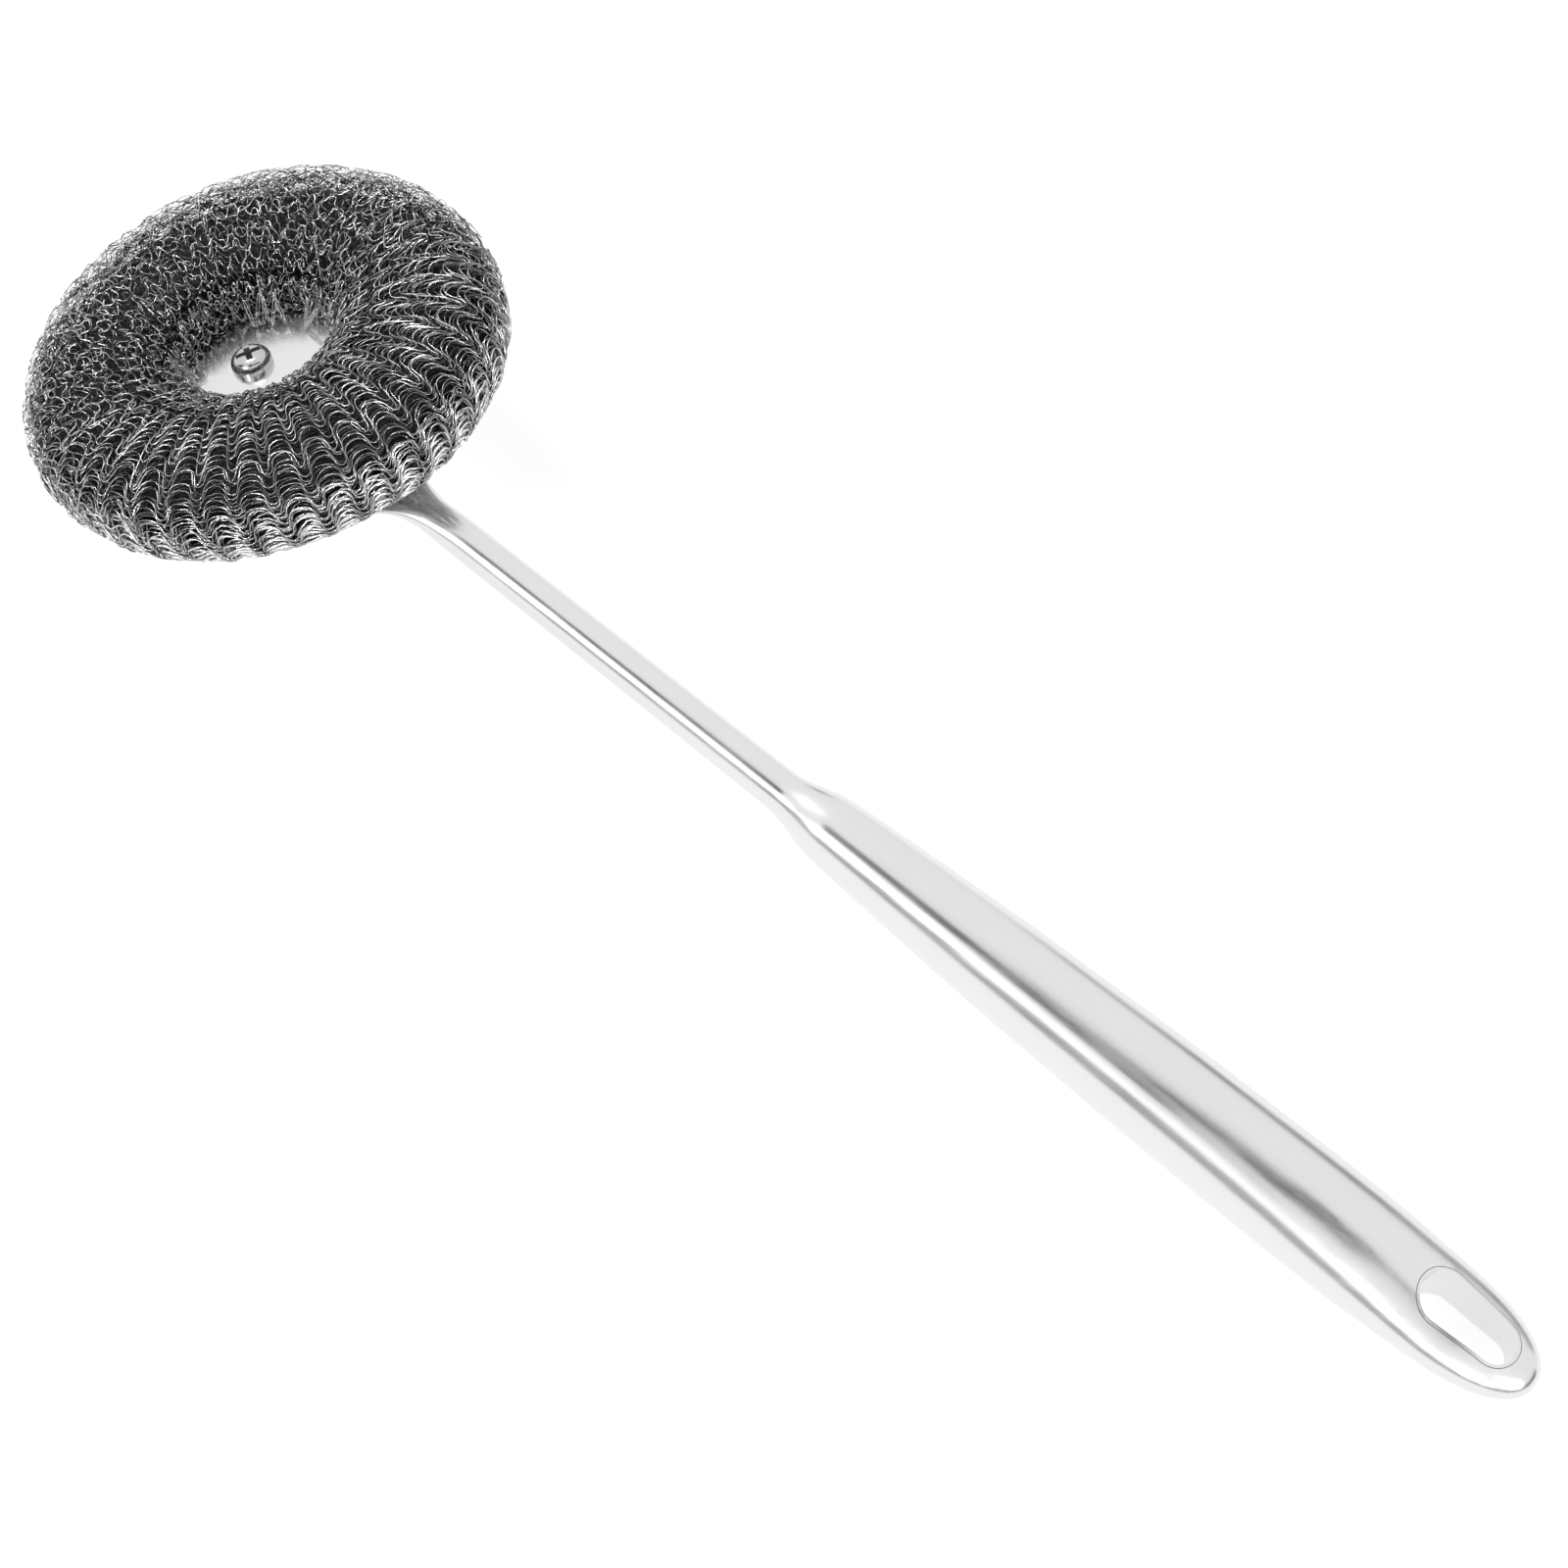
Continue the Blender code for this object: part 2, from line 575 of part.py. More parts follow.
def make_brush():
    for item in list(bpy.data.objects):
        bpy.data.objects.remove(item)
    brush = bpy.data.collections.new("steel_dish_brush")
    cutters = bpy.data.collections.new("cutters")
    for collection in (brush, cutters):
        bpy.context.scene.collection.children.link(collection)
    materials = {name: make_material(name) for name in FACE_SHINE}

    root = bpy.data.objects.new("tool_frame", None)
    head = bpy.data.objects.new("head_frame", None)
    for frame in (root, head):
        brush.objects.link(frame)
    head.parent = root

    # The head's frame stands on the screw's axis, at the back plate's front face.
    middle, along = path_point(-HEAD_TO_BEND)
    upward = Vector((-along.z, 0, along.x))
    head.location = middle - upward * TONGUE_MIDDLE
    head.rotation_euler = (0, -HEAD_TILT, 0)

    scourer = make_scourer(brush, materials["knitted_steel"])
    back_plate = turned(
        "back_plate",
        ring_profile(HOLE_RADIUS, BACK_PLATE_RADIUS, -BACK_PLATE_THICKNESS, 0, PLATE_EDGE_ROUND),
        brush,
        materials["brushed_steel"],
    )
    clamp_plate = turned(
        "clamp_plate",
        ring_profile(HOLE_RADIUS, CLAMP_PLATE_RADIUS, CLAMP_PLATE_BOTTOM, CLAMP_PLATE_TOP, PLATE_EDGE_ROUND),
        brush,
        materials["polished_steel"],
    )
    washer = turned(
        "rear_washer",
        ring_profile(HOLE_RADIUS, WASHER_RADIUS, WASHER_TOP - WASHER_THICKNESS, WASHER_TOP, PLATE_EDGE_ROUND),
        brush,
        materials["bright_zinc"],
    )
    screw, blades = make_screw(brush, cutters, materials["bright_zinc"])
    nut, bore = make_nut(brush, cutters, materials["bright_zinc"])
    screw_hole = hide_cutter(
        cylinder("screw_hole", HOLE_RADIUS, WASHER_TOP - CUT_OVERRUN, TONGUE_TOP + CUT_OVERRUN, cutters)
    )
    head_pieces = [scourer, back_plate, clamp_plate, washer, screw, nut]
    for item in (*head_pieces, *blades, bore, screw_hole):
        item.parent = head

    shells, liner, slot_tools = make_handle(brush, cutters, materials)
    for shell in shells:
        cut(shell, screw_hole)
    for item in (*shells, liner, *slot_tools):
        item.parent = root
    for cutter in cutters.objects:
        if cutter.parent is None:
            cutter.parent = root
    bpy.context.view_layer.update()

    lay_down(root, [*head_pieces, *shells, liner])
    bpy.context.view_layer.update()


make_brush()
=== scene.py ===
import math

import bpy
import numpy as np
from mathutils import Matrix, Vector


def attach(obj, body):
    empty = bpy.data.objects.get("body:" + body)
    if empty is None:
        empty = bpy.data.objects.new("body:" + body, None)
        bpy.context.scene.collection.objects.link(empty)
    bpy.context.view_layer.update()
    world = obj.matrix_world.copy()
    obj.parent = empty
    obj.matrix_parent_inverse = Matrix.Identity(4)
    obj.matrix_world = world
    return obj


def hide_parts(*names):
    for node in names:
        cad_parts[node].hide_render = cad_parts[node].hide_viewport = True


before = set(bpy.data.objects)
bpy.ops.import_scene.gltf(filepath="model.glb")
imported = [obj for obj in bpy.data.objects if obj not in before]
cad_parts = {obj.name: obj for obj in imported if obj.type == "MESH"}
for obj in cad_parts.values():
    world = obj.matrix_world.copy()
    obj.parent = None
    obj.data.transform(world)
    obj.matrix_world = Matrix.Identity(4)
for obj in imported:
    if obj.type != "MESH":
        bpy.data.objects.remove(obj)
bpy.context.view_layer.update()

# HANDLE
# Two pressed stainless halves welded edge to edge and linished over, so that it looks like one bar.
# It is flat and wide behind the back plate, bends into a thin round neck, and swells into the grip.
# It is drawn straight along +X from the bend's corner, then bent and laid down as the brush lies.
bend_place = (-0.09578, 0, 0.029157)
handle_slope = math.radians(5.0903)
tool_place = Matrix.Translation(bend_place) @ Matrix.Rotation(handle_slope, 4, "Y")
head_tilt = math.radians(35)
bend_radius = 0.015
screw_to_bend = 0.030
grip_end = 0.2757
nose_length = 0.025
nose_start = grip_end - nose_length
nose_roundness = 2.2
tongue_half = 0.014
flare_start = -0.02

# The section's width and depth, at places along the straight handle.
width_along = (
    (flare_start, 0.028),
    (0.009, 0.0074),
    (0.0937, 0.0083),
    (0.1064, 0.0134),
    (0.1185, 0.0151),
    (0.1566, 0.0192),
    (0.1947, 0.0217),
    (0.2328, 0.0232),
    (0.2582, 0.0222),
)
depth_along = (
    (-0.0044, 0.0023),
    (0.0170, 0.0072),
    (0.0937, 0.0083),
    (0.1064, 0.0134),
    (0.1185, 0.0150),
    (0.1566, 0.0186),
    (0.1947, 0.0200),
    (0.2150, 0.0194),
    (0.2328, 0.0172),
    (0.2582, 0.0114),
)
top_corner_share = 0.47
belly_corner_share = 0.45
corner_segments = 12
satin_grey = (0.82, 0.82, 0.83, 1)


def read_along(table, place):
    """Reads a size from a table of (place, size) as a smooth curve through its entries."""
    if place <= table[0][0]:
        return table[0][1]
    if place >= table[-1][0]:
        return table[-1][1]
    slopes = [(b[1] - a[1]) / (b[0] - a[0]) for a, b in zip(table, table[1:])]
    leans = [0]
    for left, right in zip(slopes, slopes[1:]):
        leans.append(min(left, right, key=abs) if left * right > 0 else 0)
    leans.append(0)
    i = max(k for k in range(len(slopes)) if table[k][0] <= place)
    span = table[i + 1][0] - table[i][0]
    t = (place - table[i][0]) / span
    size = (2 * t**3 - 3 * t**2 + 1) * table[i][1] + (3 * t**2 - 2 * t**3) * table[i + 1][1]
    return size + span * ((t**3 - 2 * t**2 + t) * leans[i] + (t**3 - t**2) * leans[i + 1])


def end_share(place):
    """How much of the width is left near the tongue's round end and the grip's nose."""
    if place < -screw_to_bend:
        return math.sqrt(max(0, 1 - ((-screw_to_bend - place) / tongue_half) ** 2))
    if place > nose_start:
        share = min(1, (place - nose_start) / (grip_end - nose_start))
        return (1 - share**nose_roundness) ** (1 / nose_roundness)
    return 1


def bend_point(place, across, up):
    """Puts a point of the straight handle on the bent one."""
    corner = bend_radius * math.tan(head_tilt / 2)
    if place >= corner:
        return Vector((place, across, up))
    if place <= -corner:
        turn, start = head_tilt, Vector((math.cos(head_tilt), 0, math.sin(head_tilt))) * place
    else:
        turn = head_tilt * (corner - place) / (2 * corner)
        start = Vector((corner - bend_radius * math.sin(turn), 0, -bend_radius * (1 - math.cos(turn))))
    return start + Vector((-math.sin(turn) * up, across, math.cos(turn) * up))


def start_piece(name):
    """Names the primitive that was just added and opens it for editing, with all of it selected."""
    piece = bpy.context.object
    piece.name = piece.data.name = name
    bpy.ops.object.mode_set(mode="EDIT")
    bpy.ops.mesh.select_all(action="SELECT")
    return piece


def finish_piece(piece, material, smooth_angle=35):
    """Puts the place and the modifiers in the mesh, and gives the piece its finish and its body."""
    bpy.ops.object.select_all(action="DESELECT")
    piece.select_set(True)
    bpy.context.view_layer.objects.active = piece
    for modifier in [m.name for m in piece.modifiers]:
        bpy.ops.object.modifier_apply(modifier=modifier)
    bpy.ops.object.transform_apply(location=True, rotation=True, scale=True)
    bpy.ops.object.shade_smooth_by_angle(angle=math.radians(smooth_angle))
    piece.data.materials.clear()
    piece.data.materials.append(material)
    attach(piece, "root")


def cut_with(piece, tool, operation="DIFFERENCE"):
    """Cuts the tool out of the piece, or keeps only what the two share."""
    modifier = piece.modifiers.new(operation.lower(), "BOOLEAN")
    modifier.operation = operation
    modifier.solver = "EXACT"
    modifier.object = tool
    bpy.ops.object.select_all(action="DESELECT")
    piece.select_set(True)
    bpy.context.view_layer.objects.active = piece
    bpy.ops.object.modifier_apply(modifier=modifier.name)


def select_where(piece, test):
    """Selects the open piece's corners that pass the test, and nothing else."""
    bpy.ops.mesh.select_all(action="DESELECT")
    bpy.ops.object.mode_set(mode="OBJECT")
    for vertex in piece.data.vertices:
        vertex.select = test(vertex.co)
    bpy.ops.object.mode_set(mode="EDIT")


def face_outward():
    """Turns all faces of the open piece outwards, and closes it."""
    bpy.ops.mesh.select_all(action="SELECT")
    bpy.ops.mesh.normals_make_consistent(inside=False)
    bpy.ops.object.mode_set(mode="OBJECT")


def grain_group():
    """Fine brushing along X and wandering cloudiness, which together set the roughness."""
    grain_detail, cloud_detail, cloud_scale = 3, 4, 60
    each_share = 0.5
    spread_low, spread_high = 0.35, 0.65
    group = bpy.data.node_groups.new("steel_grain", "ShaderNodeTree")
    face = group.interface
    for name in ("Fineness", "Stretch", "Rough low", "Rough high"):
        face.new_socket(name, in_out="INPUT", socket_type="NodeSocketFloat")
    for name in ("Roughness", "Height", "Cloud"):
        face.new_socket(name, in_out="OUTPUT", socket_type="NodeSocketFloat")
    nodes, links = group.nodes, group.links
    ins, outs = nodes.new("NodeGroupInput"), nodes.new("NodeGroupOutput")
    place = nodes.new("ShaderNodeTexCoord")
    stretch = nodes.new("ShaderNodeCombineXYZ")
    stretch.inputs["Y"].default_value = 1
    stretch.inputs["Z"].default_value = 1
    links.new(ins.outputs["Stretch"], stretch.inputs["X"])
    drawn = nodes.new("ShaderNodeVectorMath")
    drawn.operation = "MULTIPLY"
    links.new(place.outputs["Object"], drawn.inputs[0])
    links.new(stretch.outputs["Vector"], drawn.inputs[1])
    grain = nodes.new("ShaderNodeTexNoise")
    grain.inputs["Detail"].default_value = grain_detail
    links.new(drawn.outputs["Vector"], grain.inputs["Vector"])
    links.new(ins.outputs["Fineness"], grain.inputs["Scale"])
    cloud = nodes.new("ShaderNodeTexNoise")
    cloud.inputs["Scale"].default_value = cloud_scale
    cloud.inputs["Detail"].default_value = cloud_detail
    links.new(place.outputs["Object"], cloud.inputs["Vector"])
    blend = nodes.new("ShaderNodeMath")
    blend.operation = "MULTIPLY_ADD"
    blend.inputs[1].default_value = each_share
    half = nodes.new("ShaderNodeMath")
    half.operation = "MULTIPLY"
    half.inputs[1].default_value = each_share
    links.new(cloud.outputs["Fac"], half.inputs[0])
    links.new(grain.outputs["Fac"], blend.inputs[0])
    links.new(half.outputs["Value"], blend.inputs[2])
    spread = nodes.new("ShaderNodeMapRange")
    spread.inputs["From Min"].default_value = spread_low
    spread.inputs["From Max"].default_value = spread_high
    links.new(blend.outputs["Value"], spread.inputs["Value"])
    links.new(ins.outputs["Rough low"], spread.inputs["To Min"])
    links.new(ins.outputs["Rough high"], spread.inputs["To Max"])
    links.new(spread.outputs["Result"], outs.inputs["Roughness"])
    links.new(grain.outputs["Fac"], outs.inputs["Height"])
    links.new(cloud.outputs["Fac"], outs.inputs["Cloud"])
    return group


steel_grain = grain_group()


def steel(name, colour, fineness, stretch, rough_low, rough_high, bump):
    """A bare steel finish with its own grain, slightly darker where it is clouded."""
    cloud_dark = 0.96
    relief_depth = 0.00005
    material = bpy.data.materials.new(name)
    material.use_nodes = True
    nodes, links = material.node_tree.nodes, material.node_tree.links
    shader = nodes["Principled BSDF"]
    shader.inputs["Metallic"].default_value = 1
    grain = nodes.new("ShaderNodeGroup")
    grain.node_tree = steel_grain
    grain.inputs["Fineness"].default_value = fineness
    grain.inputs["Stretch"].default_value = stretch
    grain.inputs["Rough low"].default_value = rough_low
    grain.inputs["Rough high"].default_value = rough_high
    links.new(grain.outputs["Roughness"], shader.inputs["Roughness"])
    tint = nodes.new("ShaderNodeMix")
    tint.data_type = "RGBA"
    tint.inputs["A"].default_value = tuple(c * cloud_dark for c in colour[:3]) + (1,)
    tint.inputs["B"].default_value = colour
    links.new(grain.outputs["Cloud"], tint.inputs["Factor"])
    links.new(tint.outputs["Result"], shader.inputs["Base Color"])
    relief = nodes.new("ShaderNodeBump")
    relief.inputs["Strength"].default_value = bump
    relief.inputs["Distance"].default_value = relief_depth
    links.new(grain.outputs["Height"], relief.inputs["Height"])
    links.new(relief.outputs["Normal"], shader.inputs["Normal"])
    return material


satin_steel = steel(
    "satin_steel", satin_grey, fineness=1400, stretch=0.02, rough_low=0.19, rough_high=0.27, bump=0.15
)

# A section between a square and a circle, drawn out station by station. The stations lie closer
# together where the shape changes fast: the tongue's end, the bend, the shoulder and the nose.
tongue_angles = (88, 84, 78, 70, 60, 48, 34, 18, 0)
nose_angles = range(3, 90, 3)
station_runs = (
    (-0.028, 0.024, 0.001),
    (0.026, 0.090, 0.004),
    (0.0925, 0.1095, 0.0008),
    (0.112, nose_start, 0.003),
)
stations = [-screw_to_bend - tongue_half * math.sin(math.radians(a)) for a in tongue_angles]
for first, last, step in station_runs:
    stations += np.arange(first, last, step).tolist()
stations += [nose_start + (grip_end - nose_start) * math.sin(math.radians(a)) for a in nose_angles]


def is_square_corner(co, above):
    """Whether a point is an upper, or else a lower, corner of the square that the section starts as."""
    nearly_half = 0.499
    return min(abs(co.y), abs(co.z)) > nearly_half and (co.z > 0) == above


bpy.ops.object.select_all(action="DESELECT")
bpy.ops.mesh.primitive_plane_add(size=1, location=(0, 0, 0), rotation=(0, math.pi / 2, 0))
handle = start_piece("handle")
bpy.ops.object.mode_set(mode="OBJECT")
bpy.ops.object.transform_apply(rotation=True)
bpy.ops.object.mode_set(mode="EDIT")
for corner_share, above in ((top_corner_share, True), (belly_corner_share, False)):
    select_where(handle, lambda co: is_square_corner(co, above))
    bpy.ops.mesh.bevel(affect="VERTICES", offset=corner_share, segments=corner_segments, profile=0.5)
bpy.ops.mesh.select_all(action="SELECT")
last_place, last_width, last_depth = 0, 1, 1
for count, place in enumerate(stations):
    width = read_along(width_along, place) * end_share(place)
    depth = read_along(depth_along, place) * (end_share(place) if place > 0 else 1)
    move = (place - last_place, 0, 0)
    if count:
        bpy.ops.mesh.extrude_region_move(TRANSFORM_OT_translate={"value": move})
    else:
        bpy.ops.transform.translate(value=move)
    growth = (1, width / last_width, depth / last_depth)
    bpy.ops.transform.resize(value=growth, center_override=(place, 0, 0))
    last_place, last_width, last_depth = place, width, depth
bpy.ops.object.mode_set(mode="OBJECT")
for vertex in handle.data.vertices:
    vertex.co = tool_place @ bend_point(*vertex.co)
bpy.ops.object.mode_set(mode="EDIT")
face_outward()

# The hanging slot is wider towards the neck. Its outline is a circle pulled apart at the middle.
slot_from_end = 0.0175
slot_middle = grip_end - slot_from_end
slot_length = 0.0222
slot_wide = 0.0112
slot_narrow = 0.0094
slot_points = 96
slot_tool_reach = 0.02
liner_wall = 0.0006
liner_seam = 0.00012


def slot_tool(grow):
    """An upright prism of the slot's outline, larger than the slot by grow all round."""
    bpy.ops.object.select_all(action="DESELECT")
    bpy.ops.mesh.primitive_circle_add(vertices=slot_points, radius=1, fill_type="NGON", location=(0, 0, 0))
    tool = start_piece("slot_tool")
    bpy.ops.transform.rotate(value=math.pi / slot_points, orient_axis="Z", center_override=(0, 0, 0))
    for side, width in ((1, slot_narrow), (-1, slot_wide)):
        select_where(tool, lambda co: co.x * side > 0)
        scale = width / 2 + grow
        bpy.ops.transform.resize(value=(scale, scale, 1), center_override=(0, 0, 0))
        bpy.ops.transform.translate(value=(side * (slot_length - width) / 2, 0, 0))
    bpy.ops.mesh.select_all(action="SELECT")
    bpy.ops.transform.translate(value=(slot_middle, 0, -slot_tool_reach))
    bpy.ops.mesh.extrude_region_move(TRANSFORM_OT_translate={"value": (0, 0, 2 * slot_tool_reach)})
    face_outward()
    tool.data.transform(tool_place)
    return tool


# HANG SLOT LINER
# A short drawn tube of the slot's outline, pressed through both halves of the handle, welded in and
# ground flush, so that only its thin rim and a hairline seam show.
liner = handle.copy()
liner.data = handle.data.copy()
liner.name = liner.data.name = "slot_liner"
bpy.context.scene.collection.objects.link(liner)
for piece, grow, operation in (
    (handle, liner_wall + liner_seam, "DIFFERENCE"),
    (liner, liner_wall, "INTERSECT"),
    (liner, 0, "DIFFERENCE"),
):
    tool = slot_tool(grow)
    cut_with(piece, tool, operation)
    bpy.data.objects.remove(tool)
finish_piece(handle, satin_steel, smooth_angle=30)
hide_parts("handle_top_shell", "handle_bottom_shell")
finish_piece(liner, satin_steel, smooth_angle=30)
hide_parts("hang_slot_liner")

# BACK PLATE
# A plain blanked disc welded to the flat end of the handle. The scourer is pressed against it.
back_plate_front = 0.00265


def refinish(node, material):
    """Gives a solid of the frame, which is shown as it is, its finish."""
    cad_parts[node].data.materials.clear()
    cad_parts[node].data.materials.append(material)


refinish("back_plate", satin_steel)

# SCOURER
# One long stocking of knitted steel wire, rolled inside out on itself into a thick ring and pinched
# in the middle. Every course is a wire that runs round the ring in wide arches and narrow loops.
head_turn = Matrix.Rotation(-head_tilt, 4, "Y")
head_place = tool_place @ head_turn @ Matrix.Translation((-screw_to_bend, 0, back_plate_front))
widest_height = 0.0198
rim_radius = 0.0489
crest_radius = 0.0338
crest_height = 0.0130
lip_radius = 0.0138
foot_radius = 0.0225
foot_height = 0.0004
knit_shift = (0.0003, 0.0027)
crest_lean = (-0.080, 0.083)
roundness = 2.2
profile_points = 60
wale_count = 40
course_step = 0.0021
loop_reach = 0.0024
ribbon_half = (0.00005, 0.00016)
knit_seed = 20


def knit_profile():
    """The section of the ring from the clamp plate's edge, over the crest and round to the foot."""
    power = 2 / roundness
    # Each quarter: its first and last angle, the radius at its side and at its middle, and its rise.
    quarters = (
        (176, 90, lip_radius, crest_radius, crest_height),
        (88, 0, rim_radius, crest_radius, crest_height),
        (-2, -90, rim_radius, foot_radius, foot_height - widest_height),
    )
    points = []
    for first, last, side, middle, rise in quarters:
        for angle in np.radians(np.linspace(first, last, profile_points)):
            c, s = abs(math.cos(angle)) ** power, abs(math.sin(angle)) ** power
            points.append((middle + (side - middle) * c, widest_height + rise * s))
    return np.array(points)


profile = knit_profile()
steps = np.linalg.norm(np.diff(profile, axis=0), axis=1)
along_profile = np.concatenate(([0], np.cumsum(steps)))
profile_length = along_profile[-1]
slope = np.gradient(profile, along_profile, axis=0)
slope /= np.linalg.norm(slope, axis=1, keepdims=True)
outward = np.stack((-slope[:, 1], slope[:, 0]), 1)


def unevenness(rng, waves, turns, reach):
    """A smooth random field over the ring, as a function of the angle and the distance along it."""
    turn = rng.integers(0, turns, waves)
    run = rng.uniform(-reach, reach, waves)
    phase = rng.uniform(0, math.tau, waves)
    size = rng.uniform(0.5, 1, waves)
    size /= math.sqrt((size**2).sum() / 2)
    return lambda angle, s: sum(
        z * np.sin(t * angle + r * s + p) for t, r, p, z in zip(turn, run, phase, size)
    )


def directions_along(points):
    """The unit directions of a closed wire at its points."""
    along = np.roll(points, -1, 0) - np.roll(points, 1, 0)
    return along / np.linalg.norm(along, axis=1, keepdims=True)


def wire_mesh(name, rings):
    """One mesh of closed flat wires, from rings of points, broad sides and shades.

    A broad side is a vector at each point, and its length widens the wire there.
    """
    thin, wide = ribbon_half
    all_points, all_faces, all_shades, offset = [], [], [], 0
    for points, broad_side, shades in rings:
        count = len(points)
        along = directions_along(points)
        across = np.cross(broad_side, along)
        across /= np.linalg.norm(across, axis=1, keepdims=True)
        up = np.cross(along, across) * np.linalg.norm(broad_side, axis=1, keepdims=True)
        for side in (thin * across, wide * up, -thin * across, -wide * up):
            all_points.append(points + side)
            all_shades.append(shades)
        index = np.arange(count)
        following = (index + 1) % count
        for k in range(4):
            near, far = offset + k * count, offset + (k + 1) % 4 * count
            all_faces.append(np.stack((near + index, near + following, far + following, far + index), 1))
        offset += 4 * count
    points, faces = np.concatenate(all_points), np.concatenate(all_faces)
    mesh = bpy.data.meshes.new(name)
    mesh.vertices.add(len(points))
    mesh.vertices.foreach_set("co", points.astype(np.float32).ravel())
    mesh.loops.add(faces.size)
    mesh.loops.foreach_set("vertex_index", faces.astype(np.int32).ravel())
    mesh.polygons.add(len(faces))
    mesh.polygons.foreach_set("loop_start", np.arange(0, faces.size, 4, dtype=np.int32))
    mesh.update(calc_edges=True)
    shade = mesh.attributes.new("shade", "FLOAT", "POINT")
    shade.data.foreach_set("value", np.concatenate(all_shades).astype(np.float32))
    mesh.shade_smooth()
    return mesh


def from_head(points):
    """Points of the head's own frame, with its screw along Z, in the row frame."""
    return points @ np.array(head_place.to_3x3()).T + np.array(head_place.translation)


def on_ring(angle, s, depth):
    """Points on the ring and their outward normals, in the row frame."""
    s = np.clip(s, 0, profile_length)
    r, z = (np.interp(s, along_profile, profile[:, i]) for i in (0, 1))
    nr, nz = (np.interp(s, along_profile, outward[:, i]) for i in (0, 1))
    share = np.clip((z - widest_height) / crest_height, 0, 1)
    r, z = r - depth * nr, z - depth * nz
    x, y = r * np.cos(angle), r * np.sin(angle)
    z = z + share * (crest_lean[0] * x + crest_lean[1] * y)
    points = np.stack((x + knit_shift[0], y + knit_shift[1], z), 1)
    normals = np.stack((nr * np.cos(angle), nr * np.sin(angle), nz), 1)
    return from_head(points), normals @ np.array(head_place.to_3x3()).T


def smooth_step(low, high, value):
    """A share from 0 at low to 1 at high, with soft ends."""
    share = np.clip((value - low) / (high - low), 0, 1)
    return share * share * (3 - 2 * share)


def course_places(start):
    """Where the courses lie along the section: twice as close where the plate crowds them."""
    crowded_run = 0.007
    foot_margin = 0.002
    crowded = np.arange(start, crowded_run, course_step / 2)
    spread = np.arange(crowded[-1] + course_step, profile_length - foot_margin, course_step)
    return np.concatenate((crowded, spread))


def add_knit(mesh):
    """Adds a mesh of wires as a piece of the scourer."""
    knit = bpy.data.objects.new(mesh.name, mesh)
    bpy.context.scene.collection.objects.link(knit)
    mesh.materials.append(knit_wire)
    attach(knit, "root")
    return knit


# The wire's grey is written at its points, because it depends on how deep it lies: it is painted shade,
# darker in deeper layers, with painted light and glints added below.
shade_white = (1, 1, 1, 1)
knit_wire = steel(
    "knit_wire", shade_white, fineness=400, stretch=1, rough_low=0.16, rough_high=0.34, bump=0
)
nodes, links = knit_wire.node_tree.nodes, knit_wire.node_tree.links
shade = nodes.new("ShaderNodeAttribute")
shade.attribute_name = "shade"
links.new(shade.outputs["Fac"], nodes["Principled BSDF"].inputs["Base Color"])

# Each layer: depth under the skin, how light its wires are painted, as painted shade under those above,
# points to a wale, and how far its columns stray on the untidy side.
layers = (
    (0.0003, 0.58, 14, 0.5),
    (0.0010, 0.27, 14, -1.2),
    (0.0017, 0.11, 14, 1.9),
    (0.0024, 0.05, 12, -2.4),
    (0.0031, 0.03, 12, 3.0),
    (0.0038, 0.02, 12, -3.4),
)

# Wires above the outer depth get painted glints, and on the loose side painted light from the table,
# lighter than that painted on those below.
outer_depth = 0.002
first_course = 0.0002
start_spread = 0.3

# The knit is tidy towards one side of the ring and crushed on the other.
tidy_side = math.radians(-25)
untidy_from, untidy_to = math.radians(45), math.radians(110)
stray_middle = 0.03
stray_share = 0.5
wander_reach = 0.02
slip_spread = 1.3
untidy_shrink = 0.4
twist_tidy, twist_untidy = 0.3, 1.9

# How a wire's run is shifted to and fro. The first rounds its turns, and the second makes its arches
# wide and its loops narrow.
turn_shift, arch_shift = 0.36, 0.5
run_spread = 0.16

# How far loops vary in their reach, their place and their depth.
reach_power = 0.5
swell_share = 0.15
fuzz_share, untidy_fuzz_share = 0.1, 0.2
place_spread = 0.0004
swell_place = 0.0006
loop_lift = 0.0002
fuzz_depth, untidy_fuzz_depth = 0.00025, 0.0004

# The outer side is loose, and its wires are painted lighter there, as painted light from the table
# coming through it, most of all in the arches.
loose_from, loose_to = 0.041, 0.053
painted_loop_light, painted_arch_light = 0.4, 0.58
painted_inner_gain = 2
loose_broad, untidy_narrow = 1.2, 0.25

# Where the knit is crushed, painted glints: random bends of the outer wires are painted lighter, towards
# white, as highlights. Each course's grey also differs at random, and the crushed side is darker.
painted_glint_from, painted_glint_to = 0.7, 1.2
darkest_course, lightest_course = 0.85, 1.1
untidy_dark = 0.2

